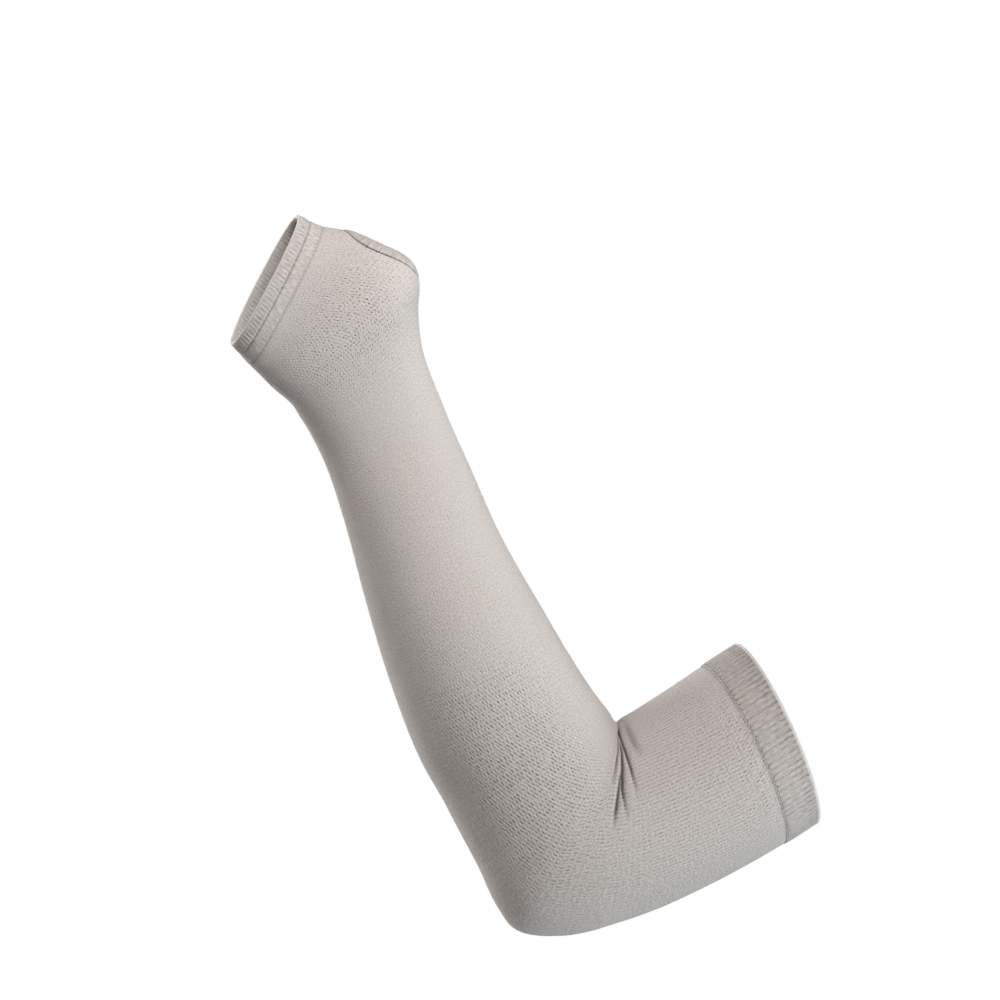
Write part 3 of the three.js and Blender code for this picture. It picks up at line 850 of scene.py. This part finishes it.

# %% [markdown]
# ## Rib knit and binding
# The bands and the binding are knitted closer from the same yarn. The ribs are modelled, so the
# material adds only what is finer: painted shade in the valleys between the ribs, stitches along
# them, streaks of yarn, painted shade at the seams and a painted highlight along the rim. An image
# of ribs would not line up with the modelled ones, so the valleys are counted on the knit map, as
# the ribs are. One function makes all three materials, because they differ only in their ribs and
# zones. A row of a zone table has a place across the band in millimetres, and how dark the
# painted valley shade is there, how dark all is, which holds the painted shade at seams and
# grooves, and how pale the painted rim highlight is. A wave texture with a scale of STITCH_BANDS
# has about one band for each stitch.

# %% Zones of the bands and the binding
# painted valley shade, darkness with painted shade at the seam lip, and painted rim highlight
ARM_ZONES = (
    (0.0, 0.00, 0.12, 0.70), (1.2, 0.00, 0.12, 0.70), (1.9, 0.30, 0.18, 0.00), (5.0, 0.32, 0.15, 0.00),
    (9.0, 0.22, 0.12, 0.00), (13.0, 0.17, 0.12, 0.00), (16.5, 0.22, 0.12, 0.00), (18.2, 0.28, 0.15, 0.00),
    (18.9, 0.24, 0.26, 0.00), (19.3, 0.16, 0.50, 0.00), (19.7, 0.10, 0.60, 0.00),
)
palm_seam = station_of["palm_seam"]
# painted shade in the groove between the two bands, and a painted highlight at the rim
PALM_ZONES = (
    (palm_seam - 0.6, 0.06, 0.10, 0.00), (palm_seam + 0.6, 0.04, 0.05, 0.00),
    (palm_seam + 4.7, 0.04, 0.06, 0.00), (palm_seam + 5.5, 0.04, 0.40, 0.00),
    (palm_seam + 6.2, 0.18, 0.08, 0.00), (palm_seam + 9.5, 0.30, 0.06, 0.00),
    (palm_seam + 11.0, 0.14, 0.06, 0.10), (knots[-1], 0.00, 0.05, 0.30),
)
# painted shade along the seam edge of the binding
BINDING_ZONES = (
    (0.0, 0.0, 0.6, 0.0), (0.6, 0.0, 0.5, 0.0), (1.4, 0.0, 0.14, 0.0), (BINDING_MAP_HEIGHT, 0.0, 0.08, 0.0),
)
print("Arm band zones:", len(ARM_ZONES), "palm band zones:", len(PALM_ZONES))

# %% Valleys, stitches and streaks
VALLEY_EDGE = {"From Min": 0.30, "From Max": 0.02}
FAINTEST_VALLEY = 0.5
STITCH = 1.1
STITCH_BANDS = 0.318
STREAKS_ACROSS = 1.3
STREAKS_ALONG = 0.32
STREAK_SHADE = 0.48


def valley_shade(tree, across, ribs):
    """How much painted shade lies in the valleys between the ribs: 1 there and 0 on the ribs, with some
    valleys fainter.
    """
    rib = add(tree, "Math", {0: across, 1: float(ribs), 2: 0.5}, operation="MULTIPLY_ADD").outputs[0]
    number = add(tree, "Math", {0: rib}, operation="ROUND").outputs[0]
    past_valley = add(tree, "Math", {0: rib, 1: number}, operation="SUBTRACT").outputs[0]
    off_valley = add(tree, "Math", {0: past_valley}, operation="ABSOLUTE").outputs[0]
    valley = add(
        tree, "MapRange", {"Value": off_valley, **VALLEY_EDGE}, interpolation_type="SMOOTHSTEP"
    ).outputs["Result"]
    chance = add(tree, "TexWhiteNoise", {"W": number}, noise_dimensions="1D").outputs["Value"]
    each_valley = add(
        tree, "MapRange", {"Value": chance, "To Min": FAINTEST_VALLEY, "To Max": 1.0}
    ).outputs["Result"]
    return add(tree, "Math", {0: valley, 1: each_valley}, operation="MULTIPLY").outputs[0]


def stitches_and_streaks(tree, knit, stitches_wide):
    """The height of the stitches, and how dark the streaks of yarn are."""
    stitch_place = add(
        tree, "Mapping", {"Vector": knit, "Scale": (stitches_wide, 1 / STITCH, 1.0)}
    ).outputs["Vector"]
    stitches = add(
        tree, "TexWave", {"Vector": stitch_place, "Scale": STITCH_BANDS, "Distortion": 2.5, "Detail": 1.0},
        wave_type="BANDS", bands_direction="Y",
    ).outputs["Fac"]
    streak_place = add(
        tree, "Mapping", {"Vector": stitch_place, "Scale": (STREAKS_ACROSS, STREAKS_ALONG, 1.0)}
    ).outputs["Vector"]
    streak_noise = add(
        tree, "TexNoise", {"Vector": streak_place, "Scale": 1.0, "Detail": 2.0, "Roughness": 0.7}
    ).outputs["Fac"]
    streaks = add(
        tree, "MapRange", {"Value": streak_noise, **FUZZ_CONTRAST, "To Min": 0.0, "To Max": STREAK_SHADE}
    ).outputs["Result"]
    return stitches, streaks


print(f"Stitches every {STITCH} mm, streaks about {STITCH / STREAKS_ALONG:.1f} mm long")

# %% Rib knit materials
STITCH_SHARE = 0.4
STITCH_RELIEF = 0.25


def rib_material(name, ribs, zones, stitches_wide):
    """Knit with ribs along the piece. stitches_wide is how many stitches fit in one unit of u."""
    material, tree = new_material(name)
    knit = add(tree, "UVMap", uv_map=KNIT_MAP).outputs["UV"]
    place = add(tree, "SeparateXYZ", {"Vector": knit}).outputs
    zone = zone_values(tree, place["Y"], zones, float(zones[0][0]), float(zones[-1][0]))
    valley = valley_shade(tree, place["X"], ribs)
    stitches, streaks = stitches_and_streaks(tree, knit, stitches_wide)
    # Painted shade in the rib valleys, with the yarn streaks and the zone's darkness, which holds the
    # painted shade at seams and grooves
    ribbed = add(
        tree, "Math", {0: valley, 1: zone["Red"], 2: streaks}, operation="MULTIPLY_ADD"
    ).outputs[0]
    dark = add(tree, "Math", {0: ribbed, 1: zone["Green"]}, operation="ADD", use_clamp=True).outputs[0]
    shaded = add(
        tree, "Mix", {0: dark, 6: linear(YARN_LIGHT), 7: linear(YARN_DARK)}, data_type="RGBA"
    ).outputs[2]
    # Painted highlight along the rim, where the zone's blue is high
    yarn = add(
        tree, "Mix", {0: zone["Blue"], 6: shaded, 7: linear(YARN_PAINTED_HIGHLIGHT)}, data_type="RGBA"
    ).outputs[2]
    height = add(
        tree, "Math", {0: stitches, 1: STITCH_SHARE, 2: streaks}, operation="MULTIPLY_ADD"
    ).outputs[0]
    relief = add(
        tree, "Bump", {"Height": height, "Strength": 0.7, "Distance": STITCH_RELIEF * MM}
    ).outputs["Normal"]
    shader = add(
        tree, "BsdfPrincipled",
        {"Base Color": yarn, "Normal": relief, "Roughness": 0.85, "IOR": 1.53, "Specular IOR Level": 0.25,
         "Sheen Weight": 0.12, "Sheen Roughness": 0.5},
    )
    add(tree, "OutputMaterial", {"Surface": shader.outputs["BSDF"]})
    return material


arm_welt = rib_material("knitted nylon elastane rib welt", ARM_RIBS, ARM_ZONES, 3.0 * ARM_RIBS)
palm_welt = rib_material("knitted nylon elastane palm welt", PALM_RIBS, PALM_ZONES, 2.0 * PALM_RIBS)
folded_strip = rib_material("folded nylon elastane binding", 1, BINDING_ZONES, 1 / STITCH)
for piece, material in ((arm_band, arm_welt), (palm_band, palm_welt), (binding, folded_strip)):
    piece.data.materials.append(material)
    print(piece.name, "is", material.name)

# %% [markdown]
# ## Pieces, bodies and cloth
# Each piece stands for its CAD nodes and rides on the one body. The tube is four nodes in the
# CAD model and one knitted piece here. It is stretch cloth: relaxed, it is a narrower tube,
# about 80 mm wide laid flat at the upper-arm end and 65 mm at the palm end. Cloth simulation
# could stretch such a tube over a form, but the stretched form is known, so the flat size is
# only stated.

# %% Attach each piece to the body and hide its CAD nodes
TUBE_NODES = ("upper_arm_tube", "elbow_tube", "forearm_tube", "hand_tube")
PIECES = (
    (sleeve, TUBE_NODES, "jersey_knit"),
    (arm_band, ("arm_cuff",), "rib_knit"),
    (palm_band, ("palm_cuff",), "edge_knit"),
    (binding, ("thumb_binding",), "binding_knit"),
)
for piece, nodes, slot in PIECES:
    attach(piece, "root")
    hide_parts(*nodes)
print("Pieces:", ", ".join(piece.name for piece, _, _ in PIECES))

# %% [markdown]
# ## Floor
# The sleeve is shown before plain white. A white backdrop close by would throw light onto the
# sleeve from everywhere and flatten it. So the floor is matt white paper well below it. To the
# camera it is as white as the surround, and to the sleeve it gives back only the light that
# falls on it.

# %% Build the floor
FLOOR_HEIGHT = -1.3
FLOOR_HALF = 2.5
floor_corners = [(-1, -1), (1, -1), (1, 1), (-1, 1)]
floor_points = [(x * FLOOR_HALF, y * FLOOR_HALF, FLOOR_HEIGHT) for x, y in floor_corners]
floor_mesh = bpy.data.meshes.new("floor")
floor_mesh.from_pydata(floor_points, [], [(0, 1, 2, 3)])
floor = bpy.data.objects.new("floor", floor_mesh)
bpy.context.collection.objects.link(floor)
paper, tree = new_material("matt white paper floor")
camera_ray = add(tree, "LightPath").outputs["Is Camera Ray"]
matt = add(tree, "BsdfPrincipled", {"Base Color": linear("#f2f1ef"), "Roughness": 0.9}).outputs["BSDF"]
bright = add(tree, "Emission", {"Color": linear("#ffffff"), "Strength": 1.0}).outputs["Emission"]
seen = add(tree, "MixShader", {0: camera_ray, 1: matt, 2: bright}).outputs["Shader"]
add(tree, "OutputMaterial", {"Surface": seen})
floor_mesh.materials.append(paper)
print(f"The floor is {2 * FLOOR_HALF:.0f} m wide.")

# %% [markdown]
# ## Lights
# The light is soft and comes from the front and the right, and one more light behind each side
# draws a pale edge. One big light would be simpler, but it can't give both the soft front and
# the edges. Each of the five is a round soft box with its spread narrowed to 60 degrees, as a
# grid in front of it does, so that little of it falls on the floor. The right one is slightly
# cool. A row has a name, a place, the point it is aimed at, its size in metres, its watts and
# its tint.

# %% Soft boxes
LIGHT_SPREAD = math.radians(60)
LIGHTS = (
    ("front", (0.00, -0.66, 0.68), (-0.18, -0.03, 0.16), 0.5, 0.96, "#ffffff"),
    ("front low", (0.30, -0.60, -0.42), (0.02, -0.02, -0.02), 0.4, 0.33, "#ffffff"),
    ("right", (1.03, -0.22, -0.80), (-0.13, -0.02, 0.11), 0.9, 1.46, "#e2f8ff"),
    ("right behind", (0.52, 0.28, 0.58), (-0.15, -0.03, 0.06), 0.6, 0.28, "#ffffff"),
    ("left behind", (-1.40, 0.95, 0.03), (-0.13, -0.02, 0.11), 1.2, 4.4, "#ffffff"),
)
for name, stand, aim, size, power, tint in LIGHTS:
    lamp = bpy.data.lights.new(name, "AREA")
    lamp.shape = "DISK"
    lamp.size = size
    lamp.energy = power
    lamp.color = linear(tint)[:3]
    lamp.spread = LIGHT_SPREAD
    holder = bpy.data.objects.new(name, lamp)
    holder.location = stand
    holder.rotation_euler = (Vector(aim) - Vector(stand)).to_track_quat("-Z", "Y").to_euler()
    holder.visible_camera = False
    bpy.context.collection.objects.link(holder)
print("Lights:", ", ".join(name for name, *_ in LIGHTS))

# %% [markdown]
# ## Surround and camera
# The surround is white to the camera and only a weak glow to the sleeve, because a white sky as
# bright as it looks would wash out the shading. The camera looks level along +Y from 3 m, with
# an angle of view that shows 0.48 m at the sleeve. So far away, the picture has hardly any
# perspective, as a product photograph taken with a long lens.

# %% Surround and camera
SURROUND_GLOW = 0.085
VIEW_WIDTH = 0.48
VIEW_DISTANCE = 3.0
CAMERA_PLACE = (-0.1339, -3.025, 0.1128)
world = bpy.data.worlds.new("white surround")
bpy.context.scene.world = world
world.use_nodes = True
tree = world.node_tree
tree.nodes.clear()
camera_ray = add(tree, "LightPath").outputs["Is Camera Ray"]
glow = add(tree, "Background", {"Color": linear("#ffffff"), "Strength": SURROUND_GLOW}).outputs[0]
white = add(tree, "Background", {"Color": linear("#ffffff"), "Strength": 1.0}).outputs[0]
seen = add(tree, "MixShader", {0: camera_ray, 1: glow, 2: white}).outputs["Shader"]
add(tree, "OutputWorld", {"Surface": seen})

lens = bpy.data.cameras.new("photo view")
lens.angle = 2 * math.atan(VIEW_WIDTH / 2 / VIEW_DISTANCE)
camera = bpy.data.objects.new("photo view", lens)
camera.location = CAMERA_PLACE
camera.rotation_euler = (math.radians(90), 0.0, 0.0)
bpy.context.collection.objects.link(camera)
bpy.context.scene.camera = camera
bpy.context.scene.view_settings.view_transform = "Standard"
print(f"Angle of view: {math.degrees(lens.angle):.1f} degrees")
